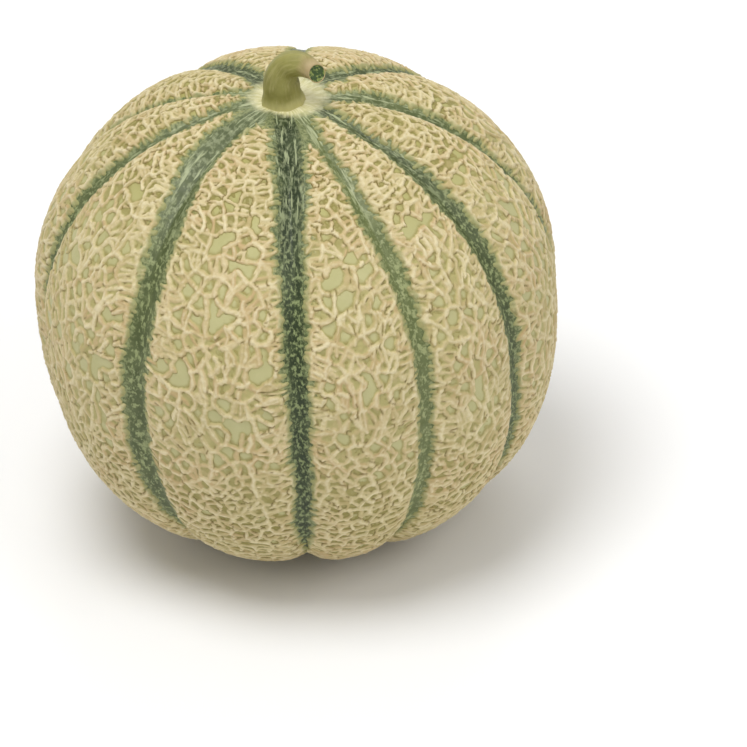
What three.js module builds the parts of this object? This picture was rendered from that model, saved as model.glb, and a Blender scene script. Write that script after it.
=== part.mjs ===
// A netted cantaloupe melon, standing on its blossom end with its cut stem stub on top.
// Millimetres and degrees. z = 0 is the resting face, +Z is up the fruit's axis and -Y is its front.
// An azimuth is counted from the front, positive towards +X, and a latitude from the widest ring.
import * as THREE from "three";
import { ConvexHull } from "three/addons/math/ConvexHull.js";

// Body of the fruit: an ellipse above the widest ring and a fuller superellipse below it
const FRUIT_RADIUS = 74.5;
const TOP_HALF = 63.8;
const TOP_POWER = 2;
const BOTTOM_HALF = 75.7;
const BOTTOM_POWER = 2.45;
const RING_HEIGHT = 75.1;

// The stem end is slightly sunken, with a small level seat for the stem's foot
const DIMPLE_DEPTH = 2.6;
const DIMPLE_WIDTH = 18;
const SEAT_RADIUS = 8.4;
const REST_RADIUS = 15;

// Ten grooves: azimuth at the widest ring, lean towards the top, and bow at both ends
const GROOVES = [
  { azimuth: -150, lean: 3, bow: 0 },
  { azimuth: -112, lean: -2, bow: 0 },
  { azimuth: -82, lean: -3, bow: 1 },
  { azimuth: -39.5, lean: -4, bow: -4 },
  { azimuth: -1.4, lean: 0.8, bow: 0 },
  { azimuth: 28.7, lean: 0.4, bow: -5 },
  { azimuth: 56, lean: -3, bow: 2.5 },
  { azimuth: 89, lean: 3, bow: -2 },
  { azimuth: 131, lean: 2, bow: 0 },
  { azimuth: 174, lean: -3, bow: 1 },
];
const LOBE_DEPTH = 1.7;
const LOBE_POWER = 2.2;
const CHANNEL_DEPTH = 1.1;
const CHANNEL_HALF_WIDTH = 3.6;
const STRIP_HALF_WIDTH = 3.1;
const STRIP_END_HALF_WIDTH = 1.9;

// Raised net: one cell of the corky net, and the strand between two cells
const CELL = 9.6;
const CELL_JITTER = 0.26;
const STRAND_HEIGHT = 1.05;
const STRAND_HEIGHT_SPREAD = 0.3;
const STRAND_HALF_WIDTH = 1.65;
const STRIP_INSET = 1.3;
const STRAND_END_FADE = 9;
const SHORTEST_EDGE = 1.5;
const DEEPEST_INSET = 0.42;
const NET_SEED = 20;

// Stem stub: centre line from its foot, bending over to the front right, and its cut end
const STEM_LINE = [
  [0, 0, 0],
  [-0.2, 0, 4.4],
  [0.1, -0.2, 8.6],
  [2.2, -1, 12],
  [5.8, -2.9, 13.3],
  [8.8, -5.2, 12.7],
  [10.1, -6.9, 12.4],
];
const STEM_OFFSET = -0.8;
const STEM_FOOT_RADIUS = 6.3;
const STEM_RADIUS = 5.2;
const STEM_BEND_RADIUS = 3.9;
const STEM_CUT_RADIUS = 2.7;
const STEM_FLARE_LENGTH = 2.2;
const STEM_SIDES = 18;
const STEM_STEPS = 15;
const STEM_CUT_NORMAL = [0.45, -0.82, 0.35];
const STEM_CUT_BLEND = 0.7;

const RADIANS = Math.PI / 180;
const NOMINAL_RADIUS = (FRUIT_RADIUS + TOP_HALF) / 2;

// The same stream of numbers on every run
function randomStream(seed) {
  let state = seed >>> 0;
  return () => {
    state = (state + 0x6d2b79f5) >>> 0;
    let mixed = Math.imul(state ^ (state >>> 15), state | 1);
    mixed ^= mixed + Math.imul(mixed ^ (mixed >>> 7), mixed | 61);
    return ((mixed ^ (mixed >>> 14)) >>> 0) / 4294967296;
  };
}

const smoothStep = (low, high, value) => THREE.MathUtils.smoothstep(value, low, high);

// Unit direction from the centre of the widest ring
function direction(azimuth, latitude) {
  const level = Math.cos(latitude);
  return new THREE.Vector3(level * Math.sin(azimuth), -level * Math.cos(azimuth), Math.sin(latitude));
}

// A groove's azimuth in radians where the sine of the latitude is up
function grooveAzimuth(groove, up) {
  return (groove.azimuth + groove.lean * up + groove.bow * up * up) * RADIANS;
}

// Distance from the centre to the plain body, with no grooves or net
function bodyRadius(up) {
  const level = Math.sqrt(Math.max(0, 1 - up * up));
  const half = up > 0 ? TOP_HALF : BOTTOM_HALF;
  const power = up > 0 ? TOP_POWER : BOTTOM_POWER;
  const radius = ((level / FRUIT_RADIUS) ** power + (Math.abs(up) / half) ** power) ** (-1 / power);
  if (up <= 0) {
    return radius;
  }
  return radius - DIMPLE_DEPTH * Math.exp(-((radius * level / DIMPLE_WIDTH) ** 2));
}

const SEAT_Z = TOP_HALF - DIMPLE_DEPTH + 0.2;

// How far the lobes between grooves and the channels along them lower the body
function grooveDepth(point, radius) {
  const up = point.z;
  const level = Math.sqrt(Math.max(0, 1 - up * up));
  const azimuth = Math.atan2(point.x, -point.y);
  let ahead = Infinity;
  let behind = Infinity;
  for (const groove of GROOVES) {
    const turn = THREE.MathUtils.euclideanModulo(grooveAzimuth(groove, up) - azimuth, 2 * Math.PI);
    ahead = Math.min(ahead, turn);
    behind = Math.min(behind, 2 * Math.PI - turn);
  }
  const nearest = Math.min(ahead, behind);
  const withinRib = 2 * nearest / (ahead + behind);
  const lobe = LOBE_DEPTH * (1 - withinRib) ** LOBE_POWER;
  const channel = CHANNEL_DEPTH * Math.exp(-((nearest * radius * level / CHANNEL_HALF_WIDTH) ** 2));
  const endRadius = up > 0 ? SEAT_RADIUS : REST_RADIUS;
  return (lobe + channel) * smoothStep(endRadius * 0.9, endRadius + 22, radius * level);
}

// A point of the skin in a given direction, raised by some height, with the seat and resting face level
function skinPoint(point, height) {
  const plain = bodyRadius(point.z);
  let radius = plain - grooveDepth(point, plain) + height;
  const level = Math.sqrt(Math.max(0, 1 - point.z * point.z));
  if (point.z > 0 && plain * level < SEAT_RADIUS + 1) {
    radius = (SEAT_Z + height) / point.z;
  }
  if (point.z < 0) {
    radius = Math.min(radius, RING_HEIGHT / -point.z);
  }
  return point.clone().multiplyScalar(radius);
}

// Cell centres in rows round the fruit. The smooth ones lie along the grooves and on both ends,
// and the others are cells of the net between the grooves.
function cellCentres(random) {
  const centres = [];
  const add = (azimuth, latitude, smooth) => centres.push({ point: direction(azimuth, latitude), smooth });
  const spread = () => 2 * random() - 1;

  // Each end: its pole, an inner ring and an outer ring whose common border is the end's rim
  const rings = [
    { sign: 1, rim: SEAT_RADIUS / (TOP_HALF - DIMPLE_DEPTH), inset: 0.06 },
    { sign: -1, rim: REST_RADIUS / BOTTOM_HALF, inset: 0.07 },
  ];
  for (const { sign, rim, inset } of rings) {
    add(0, sign * Math.PI / 2, true);
    GROOVES.forEach((groove, index) => {
      const latitude = sign * (Math.PI / 2 - rim);
      const here = grooveAzimuth(groove, Math.sin(latitude));
      const next = grooveAzimuth(GROOVES[(index + 1) % GROOVES.length], Math.sin(latitude));
      const between = here + THREE.MathUtils.euclideanModulo(next - here, 2 * Math.PI) / 2;
      add(here, latitude + sign * inset, true);
      add(between, latitude + sign * inset, true);
      add(here, latitude - sign * inset, true);
      add(between, latitude - sign * inset, false);
    });
  }

  // Rows between the two ends
  const top = Math.PI / 2 - rings[0].rim - rings[0].inset;
  const bottom = rings[1].rim + rings[1].inset - Math.PI / 2;
  const rows = Math.round((top - bottom) * NOMINAL_RADIUS / CELL);
  for (let row = 1; row < rows; row += 1) {
    const latitude = bottom + (top - bottom) * row / rows;
    const up = Math.sin(latitude);
    const ring = bodyRadius(up) * Math.cos(latitude);
    const strip = THREE.MathUtils.lerp(STRIP_END_HALF_WIDTH, STRIP_HALF_WIDTH, smoothStep(12, 55, ring));
    GROOVES.forEach((groove, index) => {
      const here = grooveAzimuth(groove, up);
      const next = grooveAzimuth(GROOVES[(index + 1) % GROOVES.length], up);
      const width = THREE.MathUtils.euclideanModulo(next - here, 2 * Math.PI) * ring;
      add(here, latitude, true);
      const free = width - 4 * strip;
      const sideShift = () => 0.3 * 2 * strip * spread() / NOMINAL_RADIUS;
      if (free < 0.45 * CELL) {
        add(here + width / 2 / ring, latitude + sideShift(), false);
        return;
      }
      const count = Math.max(2, Math.round(free / CELL) + 1);
      for (let cell = 0; cell < count; cell += 1) {
        const inner = cell > 0 && cell < count - 1;
        const across = 2 * strip + free * cell / (count - 1) + (inner ? CELL_JITTER * CELL * spread() : 0);
        const along = inner ? CELL_JITTER * CELL * spread() / NOMINAL_RADIUS : sideShift();
        const stagger = inner && cell % 2 ? 0.4 * CELL / NOMINAL_RADIUS : 0;
        add(here + across / ring, latitude + along + stagger, false);
      }
    });
  }
  return centres;
}

// Corners where three or more cells meet: the hull of the cell centres has one face for each
function cellCorners(centres) {
  centres.forEach((centre, index) => {
    centre.point.cell = index;
  });
  const hull = new ConvexHull().setFromPoints(centres.map((centre) => centre.point));
  const corners = hull.faces.map((face) => {
    const cells = [0, 1, 2].map((edge) => face.getEdge(edge).head().point.cell);
    return { point: face.normal.clone().normalize(), cells: new Set(cells) };
  });

  // Corners closer than the shortest edge become one
  const parent = corners.map((corner, index) => index);
  const root = (index) => (parent[index] === index ? index : (parent[index] = root(parent[index])));
  const nearest = SHORTEST_EDGE / NOMINAL_RADIUS;
  for (let first = 0; first < corners.length; first += 1) {
    for (let second = first + 1; second < corners.length; second += 1) {
      const gap = corners[first].point.distanceTo(corners[second].point);
      if (gap < nearest && [...corners[first].cells].filter((cell) => corners[second].cells.has(cell)).length > 1) {
        parent[root(second)] = root(first);
      }
    }
  }
  const merged = new Map();
  corners.forEach((corner, index) => {
    const key = root(index);
    if (!merged.has(key)) {
      merged.set(key, { point: new THREE.Vector3(), cells: new Set() });
    }
    merged.get(key).point.add(corner.point);
    corner.cells.forEach((cell) => merged.get(key).cells.add(cell));
  });
  return [...merged.values()].map(({ point, cells }) => ({ point: point.normalize(), cells }));
}

// Two level directions at a point of the unit sphere, for angles round it
function tangents(point) {
  const side = Math.abs(point.z) < 0.9 ? new THREE.Vector3(0, 0, 1) : new THREE.Vector3(1, 0, 0);
  const first = new THREE.Vector3().crossVectors(side, point).normalize();
  return [first, new THREE.Vector3().crossVectors(point, first)];
}

function angleRound(centre, [first, second], point) {
  const offset = point.clone().sub(centre);
  return Math.atan2(offset.dot(second), offset.dot(first));
}

// The skin as one closed surface. Each cell has a floor, and a strand's two slopes rise from the
// floors of the cells on both sides of it to its crest.
function fruitGeometry() {
  const random = randomStream(NET_SEED);
  const centres = cellCentres(random);
  const corners = cellCorners(centres);
  const positions = [];
  const triangles = [];
  const addVertex = (point, height) => {
    const place = skinPoint(point, height);
    positions.push(place.x, place.y, place.z + RING_HEIGHT);
    return positions.length / 3 - 1;
  };
  const inset = (point, target, width) => {
    const share = Math.min(DEEPEST_INSET, width / NOMINAL_RADIUS / point.distanceTo(target));
    return point.clone().lerp(target, share).normalize();
  };

  // Round each corner the smooth cells that lie side by side share one floor vertex
  for (const corner of corners) {
    const frame = tangents(corner.point);
    const around = [...corner.cells].sort((one, other) => (
      angleRound(corner.point, frame, centres[one].point) - angleRound(corner.point, frame, centres[other].point)
    ));
    const smoothCount = around.filter((cell) => centres[cell].smooth).length;
    corner.floor = new Map();
    if (smoothCount === around.length) {
      const vertex = addVertex(corner.point, 0);
      around.forEach((cell) => corner.floor.set(cell, vertex));
      corner.crest = vertex;
      continue;
    }
    const away = Math.hypot(corner.point.x, corner.point.y) * NOMINAL_RADIUS;
    const rim = corner.point.z > 0 ? SEAT_RADIUS : REST_RADIUS;
    const fade = smoothStep(rim - 1, rim + STRAND_END_FADE, away);
    const height = STRAND_HEIGHT + STRAND_HEIGHT_SPREAD * (2 * random() - 1);
    corner.crest = addVertex(corner.point, height * fade);

    // The list starts with a net cell, so that its ends split no run of smooth cells
    around.push(...around.splice(0, around.findIndex((cell) => !centres[cell].smooth)));
    let run = [];
    around.forEach((cell, index) => {
      if (!centres[cell].smooth) {
        return;
      }
      run.push(cell);
      const next = around[(index + 1) % around.length];
      if (centres[next].smooth) {
        return;
      }
      const target = new THREE.Vector3();
      run.forEach((member) => target.add(centres[member].point));
      const vertex = addVertex(inset(corner.point, target.normalize(), STRIP_INSET), 0);
      run.forEach((member) => corner.floor.set(member, vertex));
      run = [];
    });
  }

  // Faces, cell by cell
  centres.forEach((centre, cell) => {
    const own = corners.filter((corner) => corner.cells.has(cell));
    if (own.length < 3) {
      return;
    }
    const frame = tangents(centre.point);
    const middle = own.reduce((sum, corner) => sum.add(corner.point), new THREE.Vector3()).normalize();
    own.sort((one, other) => angleRound(middle, frame, one.point) - angleRound(middle, frame, other.point));
    if (!centre.smooth) {
      own.forEach((corner) => {
        corner.floor.set(cell, addVertex(inset(corner.point, middle, STRAND_HALF_WIDTH), 0));
      });
    }
    const floor = own.map((corner) => corner.floor.get(cell));
    const flat = floor.map((vertex) => {
      const place = new THREE.Vector3().fromArray(positions, vertex * 3);
      place.z -= RING_HEIGHT;
      return new THREE.Vector2(place.dot(frame[0]), place.dot(frame[1]));
    });
    for (const [first, second, third] of THREE.ShapeUtils.triangulateShape(flat, [])) {
      triangles.push(floor[first], floor[second], floor[third]);
    }
    own.forEach((corner, index) => {
      const next = own[(index + 1) % own.length];
      const beside = [...corner.cells].filter((other) => other !== cell && next.cells.has(other));
      if (centre.smooth && beside.every((other) => centres[other].smooth)) {
        return;
      }
      const nextFloor = floor[(index + 1) % own.length];
      triangles.push(corner.crest, next.crest, nextFloor, corner.crest, nextFloor, floor[index]);
    });
  });

  const geometry = new THREE.BufferGeometry();
  geometry.setAttribute("position", new THREE.Float32BufferAttribute(positions, 3));
  geometry.setIndex(triangles);
  geometry.computeVertexNormals();
  return geometry;
}

// Radius of the stem stub along its centre line, from 0 at the foot to 1 at the cut
function stemRadius(along, length) {
  const flare = (STEM_FOOT_RADIUS - STEM_RADIUS) * Math.exp(-((along * length / STEM_FLARE_LENGTH) ** 2));
  const bend = THREE.MathUtils.lerp(STEM_RADIUS, STEM_BEND_RADIUS, smoothStep(0.2, 0.62, along));
  return flare + THREE.MathUtils.lerp(bend, STEM_CUT_RADIUS, smoothStep(0.6, 1, along));
}

// The stem stub as one closed surface: rings round the centre line, a level foot and a slanted cut
function stemGeometry() {
  const line = new THREE.CatmullRomCurve3(STEM_LINE.map((place) => new THREE.Vector3(...place)), false, "centripetal");
  const length = line.getLength();
  const cutNormal = new THREE.Vector3(...STEM_CUT_NORMAL).normalize();
  const positions = [];
  const triangles = [];
  const right = new THREE.Vector3(0, 1, 0);
  for (let step = 0; step <= STEM_STEPS; step += 1) {
    const along = step / STEM_STEPS;
    const middle = line.getPointAt(along);
    const axis = step === 0 ? new THREE.Vector3(0, 0, 1) : line.getTangentAt(along);
    axis.lerp(cutNormal, smoothStep(STEM_CUT_BLEND, 1, along)).normalize();
    const across = new THREE.Vector3().crossVectors(right, axis).normalize();
    const over = new THREE.Vector3().crossVectors(axis, across);
    for (let side = 0; side < STEM_SIDES; side += 1) {
      const angle = 2 * Math.PI * side / STEM_SIDES;
      const radius = stemRadius(along, length);
      const place = middle.clone();
      place.addScaledVector(across, radius * Math.cos(angle)).addScaledVector(over, radius * Math.sin(angle));
      positions.push(place.x, place.y, place.z);
    }
  }
  for (let step = 0; step < STEM_STEPS; step += 1) {
    for (let side = 0; side < STEM_SIDES; side += 1) {
      const low = step * STEM_SIDES + side;
      const lowNext = step * STEM_SIDES + (side + 1) % STEM_SIDES;
      triangles.push(low, lowNext, lowNext + STEM_SIDES, low, lowNext + STEM_SIDES, low + STEM_SIDES);
    }
  }
  const last = STEM_STEPS * STEM_SIDES;
  for (let side = 1; side < STEM_SIDES - 1; side += 1) {
    triangles.push(0, side + 1, side, last, last + side, last + side + 1);
  }
  const geometry = new THREE.BufferGeometry();
  geometry.setAttribute("position", new THREE.Float32BufferAttribute(positions, 3));
  geometry.setIndex(triangles);
  geometry.computeVertexNormals();
  return geometry;
}

const netCork = new THREE.MeshStandardMaterial({ color: 0xc4b487, roughness: 0.75, metalness: 0 });
const stemGreen = new THREE.MeshStandardMaterial({ color: 0xa9ad6e, roughness: 0.6, metalness: 0 });

const fruit = new THREE.Mesh(fruitGeometry(), netCork);
fruit.name = "fruit";

const stem = new THREE.Mesh(stemGeometry(), stemGreen);
stem.name = "stem";
stem.position.set(STEM_OFFSET, 0, RING_HEIGHT + SEAT_Z);

const melon = new THREE.Group();
melon.add(fruit, stem);

export default melon;
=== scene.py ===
import math

import bmesh
import bpy
import numpy as np
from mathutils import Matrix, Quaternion, Vector
from mathutils.geometry import delaunay_2d_cdt


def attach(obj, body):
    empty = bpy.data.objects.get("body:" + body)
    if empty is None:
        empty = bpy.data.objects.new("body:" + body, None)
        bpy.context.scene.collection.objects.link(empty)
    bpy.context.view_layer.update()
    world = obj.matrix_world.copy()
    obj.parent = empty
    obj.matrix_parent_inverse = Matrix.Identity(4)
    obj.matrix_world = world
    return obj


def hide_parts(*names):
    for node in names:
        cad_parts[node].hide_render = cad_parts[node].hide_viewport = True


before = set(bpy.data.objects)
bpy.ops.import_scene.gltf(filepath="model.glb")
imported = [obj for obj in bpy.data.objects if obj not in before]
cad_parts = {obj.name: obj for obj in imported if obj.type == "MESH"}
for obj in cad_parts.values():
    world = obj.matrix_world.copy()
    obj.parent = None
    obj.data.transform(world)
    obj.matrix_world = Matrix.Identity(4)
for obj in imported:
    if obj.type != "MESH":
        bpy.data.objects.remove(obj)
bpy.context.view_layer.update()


# Rind. The firm outer skin grew as one closed shell, with ten sunken grooves that the net never covers.
# It is smooth and satin: mottled dark green in the grooves, pale green where the net leaves it bare,
# and cream in the collar round the stem.
MM = 0.001
FRUIT_RADIUS = 74.5
TOP_HALF = 63.8
BOTTOM_HALF = 75.7
TOP_POWER = 2
BOTTOM_POWER = 2.45
RING_HEIGHT = 75.1
DIMPLE_DEPTH = 2.6
DIMPLE_WIDTH = 18
SEAT_RADIUS = 8.4
REST_RADIUS = 15
LOBE_DEPTH = 1.7
LOBE_POWER = 2.2
CHANNEL_DEPTH = 1.1
CHANNEL_HALF_WIDTH = 3.6

# Each groove's azimuth at the widest ring, its lean towards the top and its bow, in degrees,
# then its green band: half width near the stem, at the middle and low down, and sway, in millimetres
GROOVES = (
    (-150, 3, 0, 3.2, 3.8, 2.8, 0.6),
    (-112, -2, 0, 1.6, 2.2, 1.2, -0.5),
    (-82, -3, 1, 2.6, 2.9, 2.0, -0.8),
    (-39.5, -4, -4, 4.2, 5.0, 3.4, 2.0),
    (-1.4, 0.8, 0, 5.0, 4.3, 2.9, -0.3),
    (28.7, 0.4, -5, 2.2, 3.0, 2.4, 0.4),
    (56, -3, 2.5, 2.6, 3.7, 3.0, 0.6),
    (89, 3, -2, 2.4, 3.0, 2.4, -1.4),
    (131, 2, 0, 3.6, 4.2, 3.0, 0.7),
    (174, -3, 1, 3.0, 4.0, 2.8, -0.6),
)

# The groove behind the stem is shallower near the top
SHALLOW_GROOVE = 9
SHALLOW_SHARE = 0.6
SHALLOW_SPREAD = 0.4
SHALLOW_RISE = (0.2, 0.7)
SEAT_BLEND = 22

# Where a groove's band has each of its widths, starts and ends, and how it sways and wanders
BAND_PLACES = (14, 30, 60, 95, 135)
BAND_START = (12, 26)
BAND_END = (148, 178)
BAND_SWAY_PERIOD = 100
BAND_SWAY_PEAK = 72
BAND_SWAY_SHIFT = 0.4
BAND_WANDER = 0.35
BAND_WANDER_PERIOD = 31
BAND_SEED = 60

# The collar's radius, narrowest at the front left
COLLAR_NARROW = 7.2
COLLAR_WIDE = 12.0
COLLAR_NARROW_AZIMUTH = math.radians(-30)


def smooth_step(low, high, value):
    share = np.clip((value - low) / (high - low), 0, 1)
    return share * share * (3 - 2 * share)


def body_radius(up):
    """Distance in millimetres from the centre of the widest ring to the plain body."""
    level = np.sqrt(np.maximum(0, 1 - up * up))
    half = np.where(up > 0, TOP_HALF, BOTTOM_HALF)
    power = np.where(up > 0, TOP_POWER, BOTTOM_POWER)
    radius = ((level / FRUIT_RADIUS) ** power + (np.abs(up) / half) ** power) ** (-1 / power)
    return radius - np.where(up > 0, DIMPLE_DEPTH * np.exp(-((radius * level / DIMPLE_WIDTH) ** 2)), 0)


def groove_azimuth(groove, up):
    azimuth, lean, bow = GROOVES[groove % len(GROOVES)][:3]
    return np.radians(azimuth + lean * up + bow * up * up)


# Distance along the skin from the stem end, for a latitude
latitudes = np.linspace(np.pi / 2, -np.pi / 2, 2001)
meridian = body_radius(np.sin(latitudes)) * np.array([np.cos(latitudes), np.sin(latitudes)])
distances = np.concatenate([[0], np.cumsum(np.hypot(*np.diff(meridian, axis=1)))])


def up_at(distance):
    return np.sin(np.interp(distance, distances, latitudes))


def wander(value, seed, period):
    """A slow wave between about -1 and 1 that never quite repeats."""
    phase = np.random.default_rng(seed).uniform(0, 2 * np.pi, 3)
    wave = np.sin(2 * np.pi * value / period + phase[0])
    wave = wave + 0.6 * np.sin(4.3 * np.pi * value / period + phase[1])
    return (wave + 0.4 * np.sin(9.1 * np.pi * value / period + phase[2])) / 1.6


def band_edges(groove, distance):
    """Where a groove's green band starts and ends, in millimetres across from the groove's line."""
    upper, middle, lower, sway = GROOVES[groove % len(GROOVES)][3:]
    half = np.interp(distance, BAND_PLACES, (upper, upper, middle, 0.5 * (middle + lower), lower))
    half = half * (1 - smooth_step(*BAND_END, distance))
    turn = 2 * np.pi * (distance - BAND_SWAY_PEAK) / BAND_SWAY_PERIOD
    stray = wander(distance, BAND_SEED + groove % len(GROOVES), BAND_WANDER_PERIOD)
    drift = sway * (np.cos(turn) - BAND_SWAY_SHIFT) + BAND_WANDER * stray
    drift = drift * smooth_step(*BAND_START, distance)
    return drift - half, drift + half


def skin_places(azimuth, up, height):
    """Points of the skin in millimetres, raised by a height, with the seat and resting face level."""
    level = np.sqrt(np.maximum(0, 1 - up * up))
    plain = body_radius(up)
    ahead = np.full(azimuth.shape, 2 * np.pi)
    behind = np.full(azimuth.shape, 2 * np.pi)
    for groove in range(len(GROOVES)):
        turn = (groove_azimuth(groove, up) - azimuth) % (2 * np.pi)
        ahead = np.minimum(ahead, turn)
        behind = np.minimum(behind, 2 * np.pi - turn)
    nearest = np.minimum(ahead, behind)
    lobe = LOBE_DEPTH * (1 - 2 * nearest / (ahead + behind)) ** LOBE_POWER
    channel = CHANNEL_DEPTH * np.exp(-((nearest * plain * level / CHANNEL_HALF_WIDTH) ** 2))
    end = np.where(up > 0, SEAT_RADIUS, REST_RADIUS)
    away = plain * level
    from_shallow = (azimuth - groove_azimuth(SHALLOW_GROOVE, up) + np.pi) % (2 * np.pi) - np.pi
    shallow = SHALLOW_SHARE * np.exp(-((from_shallow / SHALLOW_SPREAD) ** 2)) * smooth_step(*SHALLOW_RISE, up)
    sunk = (lobe + channel) * (1 - shallow) * smooth_step(end * 0.9, end + SEAT_BLEND, away)
    radius = plain - sunk + height
    radius = np.where(up < 0, np.minimum(radius, RING_HEIGHT / np.maximum(-up, 0.01)), radius)
    return np.stack([
        radius * level * np.sin(azimuth),
        -radius * level * np.cos(azimuth),
        np.maximum(radius * up + RING_HEIGHT, 0),
    ], -1)


def set_attribute(mesh, name, values):
    kind = "FLOAT" if values.ndim == 1 else "FLOAT_VECTOR"
    layer = mesh.attributes.new(name, kind, "POINT")
    layer.data.foreach_set("value" if values.ndim == 1 else "vector", values.astype(np.float32).ravel())


def finished_piece(name, form, materials):
    """Makes the object of a piece from its finished bmesh, smooth and with its normals outwards."""
    bmesh.ops.recalc_face_normals(form, faces=form.faces)
    mesh = bpy.data.meshes.new(name)
    form.to_mesh(mesh)
    form.free()
    mesh.shade_smooth()
    for material in materials:
        mesh.materials.append(material)
    piece = bpy.data.objects.new(name, mesh)
    bpy.context.scene.collection.objects.link(piece)
    return piece


def put_vertices(form, places):
    for vertex, place in zip(form.verts, (places * MM).tolist()):
        vertex.co = place


def linear(code):
    """A material's colour from its web code."""
    parts = [int(code[place:place + 2], 16) / 255 for place in (0, 2, 4)]
    return (*[part / 12.92 if part < 0.04045 else ((part + 0.055) / 1.055) ** 2.4 for part in parts], 1)


class Wires:
    """Adds nodes to a node tree, and joins them by socket names."""

    def __init__(self, tree):
        self.tree = tree

    def node(self, kind, settings=(), **sockets):
        made = self.tree.nodes.new(kind)
        for name, value in dict(settings).items():
            setattr(made, name, value)
        for name, value in sockets.items():
            socket = made.inputs[int(name[1:])] if name[0] == "_" else made.inputs[name.replace("_", " ")]
            self.feed(socket, value)
        return made

    def feed(self, socket, value):
        if isinstance(value, bpy.types.NodeSocket):
            self.tree.links.new(value, socket)
        else:
            socket.default_value = value

    def attribute(self, name, output="Fac"):
        return self.node("ShaderNodeAttribute", {"attribute_name": name}).outputs[output]

    def math(self, operation, first, second, third=0.0):
        made = self.node("ShaderNodeMath", {"operation": operation}, _0=first, _1=second, _2=third)
        return made.outputs[0]

    def span(self, value, low, high, to_low=0.0, to_high=1.0):
        """Value mapped smoothly from one range to another."""
        made = self.node("ShaderNodeMapRange", {"interpolation_type": "SMOOTHSTEP"}, Value=value,
                         From_Min=low, From_Max=high, To_Min=to_low, To_Max=to_high)
        return made.outputs[0]

    def blend(self, share, first, second):
        made = self.node("ShaderNodeMix", {"data_type": "RGBA"}, _0=share, _6=first, _7=second)
        return made.outputs[2]

    def noise(self, place, scale, detail, roughness=0.5):
        made = self.node("ShaderNodeTexNoise", Vector=place, Scale=scale, Detail=detail, Roughness=roughness)
        return made.outputs["Fac"]

    def stretched(self, place, along):
        """The place of a pattern that is drawn out along its second axis."""
        return self.node("ShaderNodeMapping", Vector=place, Scale=(1.0, along, 1.0)).outputs[0]

    def bump(self, shader, height, strength, distance):
        made = self.node("ShaderNodeBump", Strength=strength, Distance=distance, Height=height)
        self.feed(shader.inputs["Normal"], made.outputs[0])


def new_material(name):
    """A material with its Principled BSDF, ready to be wired."""
    material = bpy.data.materials.new(name)
    material.use_nodes = True
    return material, Wires(material.node_tree), material.node_tree.nodes["Principled BSDF"]


def rind_material():
    material, wires, shader = new_material("satin rind")
    place = wires.node("ShaderNodeTexCoord").outputs["Object"]
    streak = wires.attribute("streaks", "Vector")
    grain = wires.noise(streak, 0.55, 3, 0.6)

    # Bare skin of the ribs: small gaps are a darker olive, which is painted shade for the narrow gaps between
    # strands, and wide windows a pale green that is yellower near the stem
    patch = wires.noise(place, 140, 2, 0.5)
    upper = wires.span(wires.attribute("along"), 35, 75, 1, 0)
    window = wires.blend(patch, linear("AFAB76"), linear("BFBA8A"))
    window = wires.blend(upper, window, linear("A8A25F"))
    gap = wires.blend(patch, linear("948A50"), linear("A49A5E"))
    rib = wires.blend(wires.span(wires.attribute("bare"), 0.2, 0.7), gap, window)

    # The green band is darkest along its middle, with light flecks that run into streaks near the stem
    uneven = wires.math("MULTIPLY_ADD", wires.noise(streak, 0.8, 3, 0.65), 1.5, -0.75)
    ratio = wires.math("ADD", wires.attribute("band_ratio"), uneven)
    flecks = wires.span(wires.noise(wires.stretched(streak, 0.6), 0.95, 3, 0.6), 0.47, 0.64)
    flecks = wires.math("MULTIPLY", flecks, wires.math("MULTIPLY_ADD", upper, -0.55, 1.0))
    streaks = wires.span(wires.noise(wires.stretched(streak, 0.12), 1.15, 3, 0.6), 0.52, 0.62)
    fleck = wires.math("MAXIMUM", flecks, wires.math("MULTIPLY", streaks, upper))
    depth = wires.attribute("deepness")
    dark = wires.blend(depth, linear("6A7443"), linear("243112"))
    light = wires.blend(depth, linear("A3A877"), linear("8F9B68"))
    light = wires.blend(wires.math("MULTIPLY", upper, 0.6), light, linear("B4BA95"))
    cloud = wires.span(wires.noise(streak, 0.16, 2, 0.5), 0.4, 0.7, 0, 0.35)
    dark = wires.blend(cloud, dark, wires.blend(depth, linear("8C9262"), linear("56633C")))
    band = wires.blend(wires.math("MULTIPLY", fleck, 0.85), dark, light)
    mottle = wires.span(wires.noise(streak, 0.7, 3, 0.65), 0.4, 0.6)
    fringe = wires.blend(mottle, linear("566237"), linear("8D9264"))
    skin = wires.blend(wires.span(ratio, 0.45, 1.05), band, fringe)
    skin = wires.blend(wires.span(ratio, 1.1, 1.6), skin, rib)

    # The collar round the stem is cream with radial streaks, and the blossom scar below is tan
    ring = wires.math("ADD", wires.attribute("collar_share"), wires.math("MULTIPLY", grain, 0.4))
    radial = wires.stretched(wires.attribute("radial", "Vector"), 0.15)
    radial_grain = wires.span(wires.noise(radial, 1.6, 3, 0.6), 0.35, 0.65)
    collar = wires.blend(radial_grain, linear("C2BC86"), linear("DAD5AD"))
    skin = wires.blend(wires.span(ring, 1.0, 1.45), collar, skin)
    scar = wires.blend(radial_grain, linear("8C7A4E"), linear("B7A673"))
    from_scar = wires.math("ADD", wires.attribute("blossom"), wires.math("MULTIPLY", grain, 4))
    skin = wires.blend(wires.span(from_scar, 7, 11), scar, skin)

    wires.feed(shader.inputs["Base Color"], skin)
    wires.feed(shader.inputs["Roughness"], wires.span(grain, 0.3, 0.7, 0.42, 0.56))
    relief = wires.math("ADD", wires.noise(place, 900, 3), wires.math("MULTIPLY", fleck, 0.5))
    wires.bump(shader, relief, 0.25, 0.0002)
    shader.inputs["Specular IOR Level"].default_value = 0.4
    return material


# The shell is a globe whose columns follow the grooves, closer together near each groove
RIND_COLUMNS = 36
RIND_ROWS = 210
CROWDING = 0.55
SLACK = 1e-6

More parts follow.
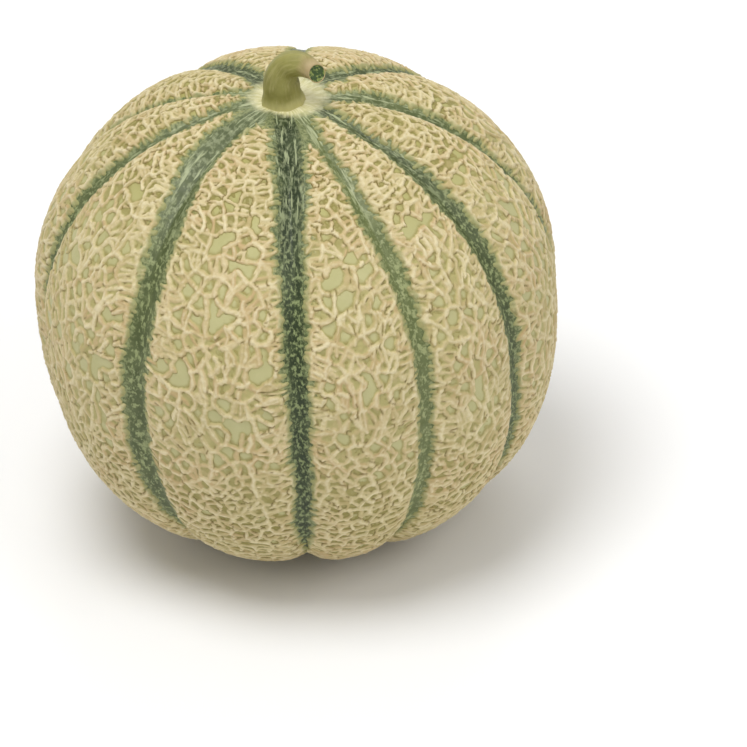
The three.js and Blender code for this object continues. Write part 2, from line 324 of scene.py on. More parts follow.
rind_form = bmesh.new()
bmesh.ops.create_uvsphere(rind_form, u_segments=RIND_COLUMNS * len(GROOVES), v_segments=RIND_ROWS, radius=1)
globe = np.array([vertex.co[:] for vertex in rind_form.verts])
globe_turn = np.arctan2(globe[:, 1], globe[:, 0]) / (2 * np.pi) % 1 * len(GROOVES)
rind_rib = np.floor(globe_turn + SLACK).astype(int) % len(GROOVES)
share = np.clip(globe_turn - np.floor(globe_turn + SLACK), 0, 1)
share = share - CROWDING * np.sin(2 * np.pi * share) / (2 * np.pi)
pole_share = np.arccos(np.clip(globe[:, 2], -1, 1)) / np.pi
rind_distance = pole_share * distances[-1]
rind_up = up_at(rind_distance)
rind_ring = body_radius(rind_up) * np.sqrt(np.maximum(0, 1 - rind_up ** 2))
rind_azimuth, rind_across, rind_ratio, rind_groove = np.zeros((4, len(globe)))
for rib in range(len(GROOVES)):
    own = rind_rib == rib
    here = groove_azimuth(rib, rind_up[own])
    width = (groove_azimuth(rib + 1, rind_up[own]) - here) % (2 * np.pi)
    rind_azimuth[own] = here + share[own] * width
    left = share[own] * width * rind_ring[own]
    right = (share[own] - 1) * width * rind_ring[own]
    second = np.abs(right) < left
    ratios = []
    for groove, offset in ((rib, left), (rib + 1, right)):
        start, end = band_edges(groove, rind_distance[own])
        middle, half = (start + end) / 2, np.maximum((end - start) / 2, 0.05)
        ratios.append(np.abs(offset - middle) / half)
    rind_across[own] = np.where(second, right, left)
    rind_ratio[own] = np.minimum(*ratios)
    rind_groove[own] = np.where(second, rib + 1, rib) % len(GROOVES)
put_vertices(rind_form, skin_places(rind_azimuth, rind_up, np.zeros(len(globe))))

# What the rind's colours follow: the bands, the collar, the scar and the run of streaks
GROOVE_DEEPNESS = np.array([0.8, 0.15, 0.5, 0.6, 1.0, 0.25, 0.75, 0.5, 0.8, 0.7])
WIDEST_RATIO = 4
PAST_COLLAR = 9
PAST_SCAR = 90
STREAKS_APART = 50
RADIAL_GRAIN = 10

rind = finished_piece("rind", rind_form, [rind_material()])
set_attribute(rind.data, "band_ratio", np.minimum(rind_ratio, WIDEST_RATIO))
set_attribute(rind.data, "along", rind_distance)
collar_turn = np.abs(np.sin((rind_azimuth - COLLAR_NARROW_AZIMUTH) / 2))
collar_edge = COLLAR_NARROW + (COLLAR_WIDE - COLLAR_NARROW) * collar_turn
set_attribute(rind.data, "collar_share", np.where(rind_up > 0, rind_ring / collar_edge, PAST_COLLAR))
set_attribute(rind.data, "blossom", np.where(rind_up < 0, rind_ring, PAST_SCAR))
set_attribute(rind.data, "streaks", np.stack([rind_across, rind_distance, rind_groove * STREAKS_APART], -1))
east, north = RADIAL_GRAIN * np.cos(rind_azimuth), RADIAL_GRAIN * np.sin(rind_azimuth)
set_attribute(rind.data, "radial", np.stack([east, rind_distance, north], -1))
set_attribute(rind.data, "deepness", GROOVE_DEEPNESS[rind_groove.astype(int)])
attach(rind, "root")


# Net. Corky strands grew over the cracks of the rind, one network on each of the ten ribs. They are dry and
# cream, cross and overlap, stop at the grooves in uneven tips, and leave small gaps and a few bare windows.
NET_START = 9.5
NET_END = 214.5
NET_ROWS = 576
COLUMN_WIDTH = 0.33
NET_BURIED = -0.5
NET_MARGIN = 1.8
SHORTEST_ROW = 0.9
MELT = 0.24
STRAND_TOP = 0.8
LUMP_HEIGHT = 0.07
CRACK_WIDTH = 0.2
CRACK_DEPTH = 0.38
CRACK_FLOOR = 0.03
CRACKED_SHARE = 0.6
GAP_BLUR = 1.2
NET_SEED = 900


def belt_share(distance, rise_start, rise_end, fall_start, fall_end):
    """1 in the belt round the middle of the fruit, 0 towards both of its ends."""
    return smooth_step(rise_start, rise_end, distance) * (1 - smooth_step(fall_start, fall_end, distance))


def net_edges(distance):
    """Where this rib's net starts and ends, across from the rib's middle."""
    return np.interp(distance, rib_rows, rib_left), np.interp(distance, rib_rows, rib_right)


def map_spots(rows, columns=slice(None)):
    """The places of a part of this rib's height map, across and along."""
    across = net_across[rows, columns]
    return np.stack([across, np.broadcast_to(rib_rows[rows, None], across.shape)], -1)


def melted(first, second):
    """The higher of two heights, with the corner between them filled."""
    return np.maximum(first, second) + np.maximum(MELT - np.abs(first - second), 0) ** 2 / (4 * MELT)


def rib_lines(rib, distance):
    """For each distance from the stem end: the rib's middle azimuth, ring radius, and edges of its net."""
    up = up_at(distance)
    ring = body_radius(up) * np.sqrt(np.maximum(0, 1 - up * up))
    here = groove_azimuth(rib, up)
    turn = (groove_azimuth(rib + 1, up) - here) % (2 * np.pi)
    half = turn / 2 * ring
    left = np.minimum(-half + band_edges(rib, distance)[1], half)
    right = np.maximum(half + band_edges(rib + 1, distance)[0], -half)
    left, right = np.minimum(left, (left + right) / 2), np.maximum(right, (left + right) / 2)
    return here + turn / 2, ring, half, left, right


# Cells are widest at a rib's edges, longest in the middle of its belt, and narrow near the stem
CELL_WIDTH = 3.9
CELL_LENGTH = 3.0
EDGE_WIDTH = 0.5
CROWN_NARROWER = 1.1
CROWN_LONGER = 1.2
BELT_LONGER = 4.2
CROWN_END = (14, 30)
CELL_BELT = (42, 62, 112, 140)


def cell_spacing(share, distance):
    """How far apart cells of the net lie, across and along, where share runs from -1 to 1 over the rib."""
    edge = np.abs(share) ** 2.5
    crown = 1 - smooth_step(*CROWN_END, distance)
    across = CELL_WIDTH + EDGE_WIDTH * edge - CROWN_NARROWER * crown
    along = CELL_LENGTH + CROWN_LONGER * crown + belt_share(distance, *CELL_BELT) * (1 - edge) * BELT_LONGER
    return across, along


class Darts:
    """Scattered places that keep their distance from each other."""

    def __init__(self, most):
        self.places = np.empty((most, 2))
        self.count = 0

    def add(self, spot, across, along):
        apart = (self.places[:self.count] - spot) / (across, along)
        if self.count and (apart ** 2).sum(1).min() < 1:
            return False
        self.places[self.count] = spot
        self.count += 1
        return True


def scattered(random, count, start, end, widest):
    """Distances from the stem end and places across the rib, to be tried in turn."""
    tried = random.uniform(start, end, count)
    return zip(tried, random.uniform(-widest, widest, count))


LEVEL_LEAN = 82
LEAN_BELT = (40, 70, 120, 150)


def strand_angle(share, distance, random):
    """Lean of a strand from the meridian: upright in the middle of a rib, level at its edges and ends."""
    upright = belt_share(distance, *LEAN_BELT) * (1 - min(1, abs(share)) ** 0.8)
    lean = np.radians(LEVEL_LEAN) * (1 - upright)
    return math.copysign(lean, share) + random.normal(0, 0.3)


def curved_strand(start, end, bend):
    """Points of a bent strand from start to end."""
    start, end = np.array(start), np.array(end)
    side = np.array([end[1] - start[1], start[0] - end[0]])
    middle = (start + end) / 2 + side * bend
    steps = np.linspace(0, 1, 5)[:, None]
    return (1 - steps) ** 2 * start + 2 * steps * (1 - steps) * middle + steps ** 2 * end


# How many cells are tried, how their size varies, and how far they may lie past the net's edge
CELL_DARTS = 12000
CELL_SIZES = (0.62, 1.25)
CELL_OVERHANG = 3
CELL_WIDEST = 1.15

# Borders of cells: how far their tips may pass the net's edge, and their lengths and sizes
BORDER_TIPS = (-0.3, 0.5)
BORDER_LENGTHS = (0.4, 12)
BORDER_MISSING = 0.06
BORDER_OVERLAP = 0.35
BORDER_HALF = (0.6, 1.02)
BORDER_HEIGHT = (0.4, 0.66)
BORDER_BELT = (45, 65, 115, 140)


def cell_strands(random):
    """Strands between neighbouring cells of the net."""
    darts = Darts(CELL_DARTS)
    first, last = NET_START - CELL_OVERHANG, NET_END + CELL_OVERHANG
    for distance, place in scattered(random, CELL_DARTS, first, last, CELL_WIDEST):
        left, right = net_edges(distance)
        if abs(place) > 1 + CELL_OVERHANG / max(right - left, 4):
            continue
        size = random.uniform(*CELL_SIZES)
        across, along = [size * spacing for spacing in cell_spacing(place, distance)]
        darts.add((left + (place + 1) / 2 * (right - left), distance), across, along)
    centres = darts.places[:darts.count].tolist()
    _, _, faces, _, _, _ = delaunay_2d_cdt([Vector(spot) for spot in centres], [], [], 0, SLACK)
    corners = {}
    for face in faces:
        (ax, ay), (bx, by), (cx, cy) = [centres[corner] for corner in face]
        twice = 2 * (ax * (by - cy) + bx * (cy - ay) + cx * (ay - by))
        if abs(twice) < SLACK:
            continue
        a2, b2, c2 = ax * ax + ay * ay, bx * bx + by * by, cx * cx + cy * cy
        centre = ((a2 * (by - cy) + b2 * (cy - ay) + c2 * (ay - by)) / twice,
                  (a2 * (cx - bx) + b2 * (ax - cx) + c2 * (bx - ax)) / twice)
        for pair in ((0, 1), (1, 2), (2, 0)):
            key = tuple(sorted((face[pair[0]], face[pair[1]])))
            corners.setdefault(key, []).append(centre)
    vanished = open_windows(centres, corners, random)
    strands = []
    for pair, ends in corners.items():
        if len(ends) != 2 or pair in vanished:
            continue
        start, end = np.array(ends)
        length = np.hypot(*(end - start))
        if length > BORDER_LENGTHS[1] or length < BORDER_LENGTHS[0]:
            continue
        middle, distance = (start + end) / 2
        if distance < NET_START or distance > NET_END:
            continue
        left, right = net_edges(distance)
        if not left - 0.2 < middle < right + 0.2 or random.random() < BORDER_MISSING:
            continue
        along = (end - start) / length
        reach = random.uniform(0, BORDER_OVERLAP, 2)
        start, end = start - along * reach[0], end + along * reach[1]
        for spot in (start, end):
            low, high = left - random.uniform(*BORDER_TIPS), right + random.uniform(*BORDER_TIPS)
            spot[0] = np.clip(spot[0], low, high)
        half = random.uniform(*BORDER_HALF) + 0.15 * belt_share(distance, *BORDER_BELT)
        points = curved_strand(start, end, random.normal(0, 0.16))
        strands.append((points, half, random.uniform(*BORDER_HEIGHT)))
    return strands


# Comb strands: where they end, their steps and lengths, how far and how often tips pass the edge, their sizes
COMB_END = 186
COMB_STEP = (1.5, 3.4)
COMB_LENGTH = (3, 8)
COMB_RISE = (-0.1, 0.45)
COMB_TIPS = (0.0, 0.3, 0.8)
COMB_TIP_ODDS = (0.5, 0.35, 0.15)
COMB_HALF = (0.5, 0.8)
COMB_HEIGHT = (0.3, 0.5)
NARROWEST_NET = 3


def comb_strands(random):
    """Short level strands along both edges of a rib, whose tips reach into the groove."""
    strands = []
    for side in (-1, 1):
        distance = NET_START + 2
        while distance < COMB_END:
            left, right = net_edges(distance)
            edge = right if side > 0 else left
            length = min(random.uniform(*COMB_LENGTH), (right - left) * 0.45)
            rise = random.uniform(*COMB_RISE) * length
            tip = edge + side * random.choice(COMB_TIPS, p=COMB_TIP_ODDS) + random.uniform(-0.25, 0.25)
            if right - left > NARROWEST_NET:
                root = (tip - side * length, distance)
                points = curved_strand((tip, distance - rise), root, random.normal(0, 0.12))
                strands.append((points, random.uniform(*COMB_HALF), random.uniform(*COMB_HEIGHT)))
            distance += random.uniform(*COMB_STEP)
    return strands


FLOW_DARTS = 4000
FLOW_APART = (4.2, 5.0)
FLOW_INSET = 3
FLOW_LENGTH = (4, 9)
FLOW_HALF = (0.52, 0.86)
FLOW_HEIGHT = (0.42, 0.64)
FLOW_BELT = (50, 75, 115, 140)


def flowing_strands(random):
    """Strands that follow the run of the net: upright in the belt, fanning to the edges, level low down."""
    strands = []
    darts = Darts(FLOW_DARTS)
    for distance, place in scattered(random, FLOW_DARTS, NET_START + FLOW_INSET, NET_END - FLOW_INSET, 0.95):
        left, right = net_edges(distance)
        spot = np.array([left + (place + 1) / 2 * (right - left), distance])
        if right - left < NARROWEST_NET or not darts.add(spot, *FLOW_APART):
            continue
        angle = strand_angle(place, distance, random)
        way = np.array([math.sin(angle), -math.cos(angle)])
        belt = belt_share(distance, *FLOW_BELT)
        length = random.uniform(*FLOW_LENGTH) + 4 * belt * random.random()
        start, end = spot - way * length / 2, spot + way * length / 2
        for tip in (start, end):
            tip[0] = np.clip(tip[0], left - 0.3, right + 0.3)
        half = random.uniform(*FLOW_HALF) + 0.12 * belt
        points = curved_strand(start, end, random.normal(0, 0.15))
        strands.append((points, half, random.uniform(*FLOW_HEIGHT)))
    return strands


# Trunks: their places over the rib, where along it they start and stop, their waves and their sizes
TRUNK_PLACES = (-0.42, -0.1, 0.2, 0.48)
TRUNK_START = (52, 78)
TRUNK_END = 150
TRUNK_LENGTH = (14, 34)
TRUNK_BREAK = (3, 12)
TRUNK_STEP = 2.2
TRUNK_SWAY = 1.3
TRUNK_PERIOD = 22
TRUNK_HALF = (0.65, 0.95)
TRUNK_HEIGHT = (0.5, 0.68)
DOUBLED_SHARE = 0.45
DOUBLE_HEIGHT = (0.4, 0.5)


def trunk_strands(random):
    """Long wavy strands up the middle of a rib, some of them doubled with a crack between."""
    strands = []
    for place in TRUNK_PLACES:
        start = random.uniform(*TRUNK_START)
        for _ in range(2):
            length = random.uniform(*TRUNK_LENGTH)
            steps = np.arange(start, min(start + length, TRUNK_END), TRUNK_STEP)
            if len(steps) < 4:
                continue
            left, right = net_edges(steps)
            sway = TRUNK_SWAY * wander(steps, random.integers(1 << 30), TRUNK_PERIOD)
            line = left + (place + 1) / 2 * (right - left) + sway
            half = random.uniform(*TRUNK_HALF)
            strands.append((np.stack([line, steps], -1), half, random.uniform(*TRUNK_HEIGHT)))
            if random.random() < DOUBLED_SHARE:
                beside = line + (half * 1.9) * random.choice([-1, 1])
                double = np.stack([beside, steps], -1)[1:-1]
                strands.append((double, half * 0.8, random.uniform(*DOUBLE_HEIGHT)))
            start += length + random.uniform(*TRUNK_BREAK)
    return strands


def ripple(across, along, random, period):
    """Uneven swells over a rib, between about -1 and 1."""
    total = 0
    for _ in range(7):
        turn = random.uniform(0, np.pi)
        phase = random.uniform(0, 2 * np.pi)
        length = period * random.uniform(0.6, 1.7)
        total = total + np.sin(2 * np.pi * (across * np.cos(turn) + along * np.sin(turn)) / length + phase)
    return total / 3


# Windows: how many cells are bare and where, how far they reach, and how often two of them run together
WINDOW_SHARE = 0.42
WINDOW_BELT = (38, 62, 116, 140)
WINDOW_INSET = (1.5, 6)
WINDOW_REACH = 6.0
WINDOW_MARGIN = 0.35
WINDOW_SLOPE = 1.3
DEEPEST_OPENING = 1.5
MERGE_EVERY = 4


def open_windows(centres, corners, random):
    """Leaves some cells in the belt of a rib bare. Returns the borders that vanish between two of them."""
    beside = {}
    for first, second in corners:
        beside.setdefault(first, []).append(second)
        beside.setdefault(second, []).append(first)
    chosen = set()
    for cell, (across, distance) in enumerate(centres):
        left, right = net_edges(distance)
        inset = min(across - left, right - across)
        belt = belt_share(distance, *WINDOW_BELT)
        if cell in beside and random.random() < WINDOW_SHARE * belt * smooth_step(*WINDOW_INSET, inset):
            chosen.add(cell)
    for cell in chosen:
        spot = np.array(centres[cell])
        rows = slice(*np.searchsorted(rib_rows, [spot[1] - WINDOW_REACH, spot[1] + WINDOW_REACH]))
        offset = map_spots(rows) - spot
        inside = np.full(offset.shape[:2], WINDOW_REACH)
        for other in beside[cell]:
            if other in chosen and (cell + other) % MERGE_EVERY == 0:
                continue
            way = np.array(centres[other]) - spot
            length = np.hypot(*way)
            inside = np.minimum(inside, length / 2 - offset @ (way / length))
        inside = inside - WINDOW_MARGIN + 0.25 * ripple(net_across[rows], rib_rows[rows, None], random, 5)
        inside = np.where(np.hypot(offset[..., 0], offset[..., 1]) < WINDOW_REACH, inside, 0)
        opening = np.clip(WINDOW_SLOPE * inside, 0, DEEPEST_OPENING)
        net_opening[rows] = np.maximum(net_opening[rows], opening)
    return {pair for pair in corners if chosen.issuperset(pair) and sum(pair) % MERGE_EVERY == 0}


# A strand is narrower at its tips and swells here and there
TIP_NARROWER = 0.2
SWELLING = 0.16
SWELLS = 1.7
COLUMN_SLACK = 0.6


def stamp_strand(points, half, height, tone, opening, crack):
    """Grows one strand on the rib's height map. It melts into what it crosses, and a crack may run along
    part of one side of it: crack gives the side, and where along the strand it starts and ends."""
    reach = half * 1.5 + 3 * CRACK_WIDTH
    rows = np.searchsorted(rib_rows, [points[:, 1].min() - reach, points[:, 1].max() + reach])
    rows = slice(max(rows[0], 1), min(rows[1], NET_ROWS))
    if rows.stop <= rows.start:
        return
    middle = (rows.start + rows.stop) // 2
    low = np.searchsorted(net_across[middle], points[:, 0].min() - reach - COLUMN_SLACK)
    high = np.searchsorted(net_across[middle], points[:, 0].max() + reach + COLUMN_SLACK)
    columns = slice(max(low, 1), min(high, net_across.shape[1] - 1))
    if columns.stop <= columns.start:
        return
    starts, runs = points[:-1], np.diff(points, axis=0)
    offset = map_spots(rows, columns)[:, :, None, :] - starts
    part = np.clip((offset * runs).sum(-1) / np.maximum((runs ** 2).sum(-1), 1e-9), 0, 1)
    away = offset - part[..., None] * runs
    turn = runs[:, 0] * away[..., 1] - runs[:, 1] * away[..., 0]
    gap = np.sqrt((away ** 2).sum(-1))
    nearest = gap.argmin(-1)[..., None]
    gap, turn, part = [np.take_along_axis(values, nearest, -1)[..., 0] for values in (gap, turn, part)]
    place = (nearest[..., 0] + part) / len(runs)
    width = half * (1 - TIP_NARROWER + TIP_NARROWER * np.sqrt(np.clip(6.4 * place * (1 - place), 0, 1)))
    width = width * (1 + SWELLING * np.sin(2 * np.pi * (SWELLS * place + tone)))
    rise = height * (1 - (gap / width) ** 2) - opening * net_opening[rows, columns]
    rise = np.maximum(rise, NET_BURIED)
    old = net_height[rows, columns]
    grown = melted(old, rise)
    side, start, end = crack
    torn = np.exp(-(((gap - width) / CRACK_WIDTH) ** 2)) * (turn * side > 0)
    fade = (end - start) / 3
    torn = torn * smooth_step(start, start + fade, place) * (1 - smooth_step(end - fade, end, place))
    grown = np.maximum(grown - CRACK_DEPTH * torn, np.minimum(grown, CRACK_FLOOR))
    covered = smooth_step(-0.1, 0.1, rise - old)
    net_crack[rows, columns] = np.maximum(net_crack[rows, columns] * (1 - covered), torn)
    net_tone[rows, columns] = net_tone[rows, columns] * (1 - covered) + tone * covered
    net_height[rows, columns] = np.minimum(grown, STRAND_TOP)


def net_material():
    material, wires, shader = new_material("dry corky net")
    place = wires.node("ShaderNodeTexCoord").outputs["Object"]
    height = wires.attribute("strand_height")
    tone = wires.attribute("strand_tone")
    patch = wires.noise(place, 55, 3, 0.55)
    grain = wires.noise(place, 900, 4, 0.65)
    warm = wires.blend(wires.span(patch, 0.35, 0.65), linear("AF9F69"), linear("B89D6D"))
    pale = wires.blend(wires.span(grain, 0.3, 0.7), linear("CABC8B"), linear("D9CCA4"))
    crest = wires.blend(wires.math("MULTIPLY_ADD", tone, 0.8, 0.1), warm, pale)
    # The highest crests turn paler: a painted highlight on the tops of the strands
    crest = wires.blend(wires.span(height, 0.4, 0.75, 0, 0.55), crest, linear("E3D8B4"))
    # Low places between the strands are a darker olive, darkest towards both ends of the fruit: partly the
    # mat's own colour, partly painted shade
    floor = wires.blend(wires.attribute("belt_share"), linear("8D8448"), linear("AEA56D"))
    cork = wires.blend(wires.span(wires.math("MULTIPLY_ADD", grain, 0.12, height), 0.12, 0.44), floor, crest)
    fleck = wires.span(wires.noise(place, 420, 3, 0.7), 0.66, 0.78)
    cork = wires.blend(wires.math("MULTIPLY", fleck, 0.3), cork, linear("A08358"))
    # Cracks turn dark brown: partly the torn tissue's colour, partly painted shade in the crease
    cork = wires.blend(wires.math("MULTIPLY", wires.attribute("crack_share"), 0.85), cork, linear("79653A"))
    blotch = wires.noise(place, 330, 3, 0.6)
    near = wires.math("ADD", wires.attribute("groove_near"), wires.math("MULTIPLY_ADD", blotch, 1.6, -0.8))
    cork = wires.blend(wires.span(near, 0.35, 1.2, 0, 0.85), cork, linear("8F9360"))
    wires.feed(shader.inputs["Base Color"], cork)
    wires.feed(shader.inputs["Roughness"], wires.span(grain, 0.25, 0.75, 0.5, 0.7))
    relief = wires.math("MULTIPLY_ADD", wires.noise(place, 380, 3, 0.6), 1.6, grain)
    wires.bump(shader, relief, 0.55, 0.0004)
    shader.inputs["Specular IOR Level"].default_value = 0.3
    return material


def bake_layout(mesh, columns):
    """The map named OFBake: the rib's outside in four lengths side by side, its hidden underside in a margin.
    """
    corner_vertex = np.empty(len(mesh.loops), dtype=int)
    mesh.loops.foreach_get("vertex_index", corner_vertex)
    counts = np.empty(len(mesh.polygons), dtype=int)
    mesh.polygons.foreach_get("loop_total", counts)
    face = np.repeat(np.arange(len(counts)), counts)
    column, row = grid_column[corner_vertex], grid_row[corner_vertex]
    first = np.cumsum(np.concatenate([[0], counts[:-1]]))
    lowest = np.minimum.reduceat(row, first)[face]
    narrow = (np.maximum.reduceat(column, first) - np.minimum.reduceat(column, first))[face] <= 1
    length = math.ceil(NET_ROWS / 4)
    part = np.minimum(lowest // length, 3)
    across, along = column / columns, (row - part * length) / length
    outer = np.stack([part % 2 * 0.49 + 0.004 + 0.48 * across, part // 2 * 0.5 + 0.004 + 0.49 * along], -1)
    hidden = np.stack([0.985 + 0.012 * across, 0.005 + 0.99 * row / NET_ROWS], -1)
    layer = mesh.uv_layers.new(name="OFBake")
    layer.data.foreach_set("uv", np.where(narrow[:, None], outer, hidden).astype(np.float32).ravel())


# The mat between the strands, the cracks' lengths, and where the net's colours change
MAT_TOP = 0.2
MAT_CRACKED = 0.3
MAT_EDGE = (0.2, 2.2)
MAT_EDGE_DROP = 0.7
CRACK_LENGTH = (1.5, 4.5)
LATEST_CRACK = 0.7
FADE_IN = 4
FADE_OUT = 6
TRUNK_OPENING = 0.6
GROOVE_NEAR = (-0.6, 2.2)
COLOUR_BELT = (45, 70, 115, 150)

bare = np.ones(len(globe))
cork = net_material()
net_pieces = []
for rib in range(len(GROOVES)):
    random = np.random.default_rng(NET_SEED + rib)
    rib_rows = np.linspace(NET_START, NET_END, NET_ROWS + 1)
    rib_along = rib_rows[:, None]
    rib_middle, rib_ring, rib_half, rib_left, rib_right = rib_lines(rib, rib_rows)
    middle = (rib_left + rib_right) / 2
    reach = np.minimum(np.maximum((rib_right - rib_left) / 2 + NET_MARGIN, SHORTEST_ROW), rib_half)
    columns = math.ceil(2 * reach.max() / COLUMN_WIDTH)
    net_across = middle[:, None] + reach[:, None] * np.linspace(-1, 1, columns + 1)
    net_height = np.full(net_across.shape, NET_BURIED)
    net_tone, net_crack, net_opening = np.zeros((3, *net_across.shape))
    borders = cell_strands(random)
    strands = [(strand, 1) for strand in comb_strands(random) + flowing_strands(random)]
    strands += [(strand, 0) for strand in borders]
    random.shuffle(strands)
    trunks = [(strand, TRUNK_OPENING) for strand in trunk_strands(random)]
    for (points, half, height), opening in strands + trunks:
        side = random.choice([-1, 1]) if random.random() < CRACKED_SHARE else 0
        start = random.uniform(0, LATEST_CRACK)
        length = np.hypot(*np.diff(points, axis=0).T).sum()
        crack = (side, start, start + random.uniform(*CRACK_LENGTH) / length)
        stamp_strand(points, half, height, random.random(), opening, crack)

    # The strands are lumpy, and between them lies a thin corky mat, torn open here and there
    lumps = 0.6 * ripple(net_across, rib_along, random, 1.5) + ripple(net_across, rib_along, random, 3.2)
    net_height = net_height + LUMP_HEIGHT * lumps * smooth_step(0.05, 0.3, net_height)
    mat = 0.02 + 0.1 * ripple(net_across, rib_along, random, 2.6)
    mat = mat + 0.12 * ripple(net_across, rib_along, random, 9) - net_opening
    inset = np.minimum(net_across - rib_left[:, None], rib_right[:, None] - net_across)
    edge_drop = MAT_EDGE_DROP * (1 - smooth_step(*MAT_EDGE, inset))
    mat = np.minimum(mat, MAT_TOP) - edge_drop - MAT_CRACKED * net_crack
    net_height = melted(net_height, mat)
    fade = belt_share(rib_rows, NET_START, NET_START + FADE_IN, NET_END - FADE_OUT, NET_END)
    net_height = NET_BURIED + (net_height - NET_BURIED) * fade[:, None]

    # The outside is a grid, and a plain underside inside the fruit closes it
    form = bmesh.new()
    bmesh.ops.create_grid(form, x_segments=columns, y_segments=NET_ROWS, size=1)
    spots = np.array([vertex.co[:2] for vertex in form.verts])
    grid_column = np.rint((spots[:, 0] + 1) / 2 * columns).astype(int)
    grid_row = np.rint((1 - spots[:, 1]) / 2 * NET_ROWS).astype(int)
    long_sides = [edge for edge in form.edges if abs(sum(end.co.x for end in edge.verts)) > 2 - 1e-4]
    bmesh.ops.bridge_loops(form, edges=long_sides)
    ends = [edge for edge in form.edges if edge.is_boundary]
    caps = bmesh.ops.holes_fill(form, edges=ends, sides=0)["faces"]
    bmesh.ops.triangulate(form, faces=caps)
    azimuth = rib_middle[:, None] + net_across / rib_ring[:, None]
    places = skin_places(azimuth, np.broadcast_to(up_at(rib_rows)[:, None], azimuth.shape), net_height)
    put_vertices(form, places[grid_row, grid_column])
    piece = finished_piece("net_rib_" + str(rib + 1), form, [cork])
    for name, values in (
        ("strand_height", np.clip(net_height, 0, 1)),
        ("strand_tone", net_tone),
        ("crack_share", net_crack),
        ("groove_near", 1 - smooth_step(*GROOVE_NEAR, inset)),
    ):
        set_attribute(piece.data, name, values[grid_row, grid_column])
    set_attribute(piece.data, "belt_share", belt_share(rib_rows, *COLOUR_BELT)[grid_row])
    bake_layout(piece.data, columns)
    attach(piece, "root")
    net_pieces.append(piece)

    # How open the net is round each point of the rind's rib
    gap = (net_height < 0).astype(float)
    for axis, spacing in ((0, (NET_END - NET_START) / NET_ROWS), (1, COLUMN_WIDTH)):
        width = int(GAP_BLUR / spacing)
        padded = np.pad(gap, [(width, width) if axis == side else (0, 0) for side in (0, 1)], mode="edge")
        total = np.cumsum(padded, axis=axis)
        gap = (np.take(total, range(2 * width, total.shape[axis]), axis) -
               np.take(total, range(0, total.shape[axis] - 2 * width), axis)) / (2 * width)
    own = np.flatnonzero(rind_rib == rib)
    rows = np.clip(np.searchsorted(rib_rows, rind_distance[own]), 0, NET_ROWS)
    turned = (rind_azimuth[own] - rib_middle[rows] + np.pi) % (2 * np.pi) - np.pi
    share = (turned * rib_ring[rows] - middle[rows]) / reach[rows]
    column = np.clip(np.rint((share + 1) / 2 * columns).astype(int), 0, columns)
    bare[own] = gap[rows, column]

set_attribute(rind.data, "bare", bare)
for piece in [rind, *net_pieces]:
    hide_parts("fruit")


# Stem. A short stub of the vine, cut off with a knife, that grew out of the top and bends over to the front
# right. It is smooth, firm and light olive, with a flared foot and a dark moist cut end.
STEM_LINE = (
    (0, 0, 0),
    (-0.2, 0, 4.4),
    (0.1, -0.2, 8.6),
    (2.2, -1, 12),
    (5.8, -2.9, 13.3),
    (8.8, -5.2, 12.7),
    (10.1, -6.9, 12.4),
)
STEM_OFFSET = -0.8
STEM_LIFT = 0.2
STEM_SEAT = RING_HEIGHT + TOP_HALF - DIMPLE_DEPTH + STEM_LIFT
STEM_FOOT_RADIUS = 6.3
STEM_RADIUS = 5.2
STEM_BEND_RADIUS = 3.9
STEM_CUT_RADIUS = 2.7
STEM_FLARE_LENGTH = 2.2
STEM_CUT_NORMAL = (0.45, -0.82, 0.35)
STEM_SIDES = 96
STEM_RINGS = 110
STEM_SUNK = 0.6
STEM_RIDGES = 5
STEM_RIDGE_HEIGHT = 0.14
STEM_LUMP_HEIGHT = 0.1
STEM_SCALLOP = 0.12
STEM_FIBRE_RADIUS = 4

# Rings of the cut end: share of its radius, and height. One of them is beaded.
CUT_RINGS = ((0.95, 0.1), (0.9, -0.05), (0.84, -0.45), (0.7, -0.6), (0.55, -0.45), (0.42, -0.6), (0.2, -0.7))
CUT_RELIEF = 0.6
CUT_BEADED_RING = 0.55
CUT_BEADS = 12
CUT_BEAD_HEIGHT = 0.12
CUT_EDGE_RINGS = 3


def smooth_line(knots, count):
    """Evenly spaced points and directions on a smooth line through the knots."""
    knots = np.array(knots, dtype=float)
    knots = np.concatenate([[2 * knots[0] - knots[1]], knots, [2 * knots[-1] - knots[-2]]])
    points = []
    for index in range(1, len(knots) - 2):
        span = knots[index - 1:index + 3]
        times = np.concatenate([[0], np.cumsum(np.linalg.norm(np.diff(span, axis=0), axis=1) ** 0.5)])
        for time in np.linspace(times[1], times[2], 40, endpoint=index == len(knots) - 3):
            row = list(span)
            for level in (1, 2, 3):
                for place in range(4 - level):
                    low, high = (place, place + level) if level < 3 else (1, 2)
                    part = (time - times[low]) / (times[high] - times[low])
                    row[place] = (1 - part) * row[place] + part * row[place + 1]
            points.append(row[0])
    points = np.array(points)
    lengths = np.concatenate([[0], np.cumsum(np.linalg.norm(np.diff(points, axis=0), axis=1))])
    even = np.linspace(0, lengths[-1], count)
    line = np.stack([np.interp(even, lengths, points[:, axis]) for axis in range(3)], -1)
    ways = np.gradient(line, axis=0)
    return line, ways / np.linalg.norm(ways, axis=1)[:, None], lengths[-1]


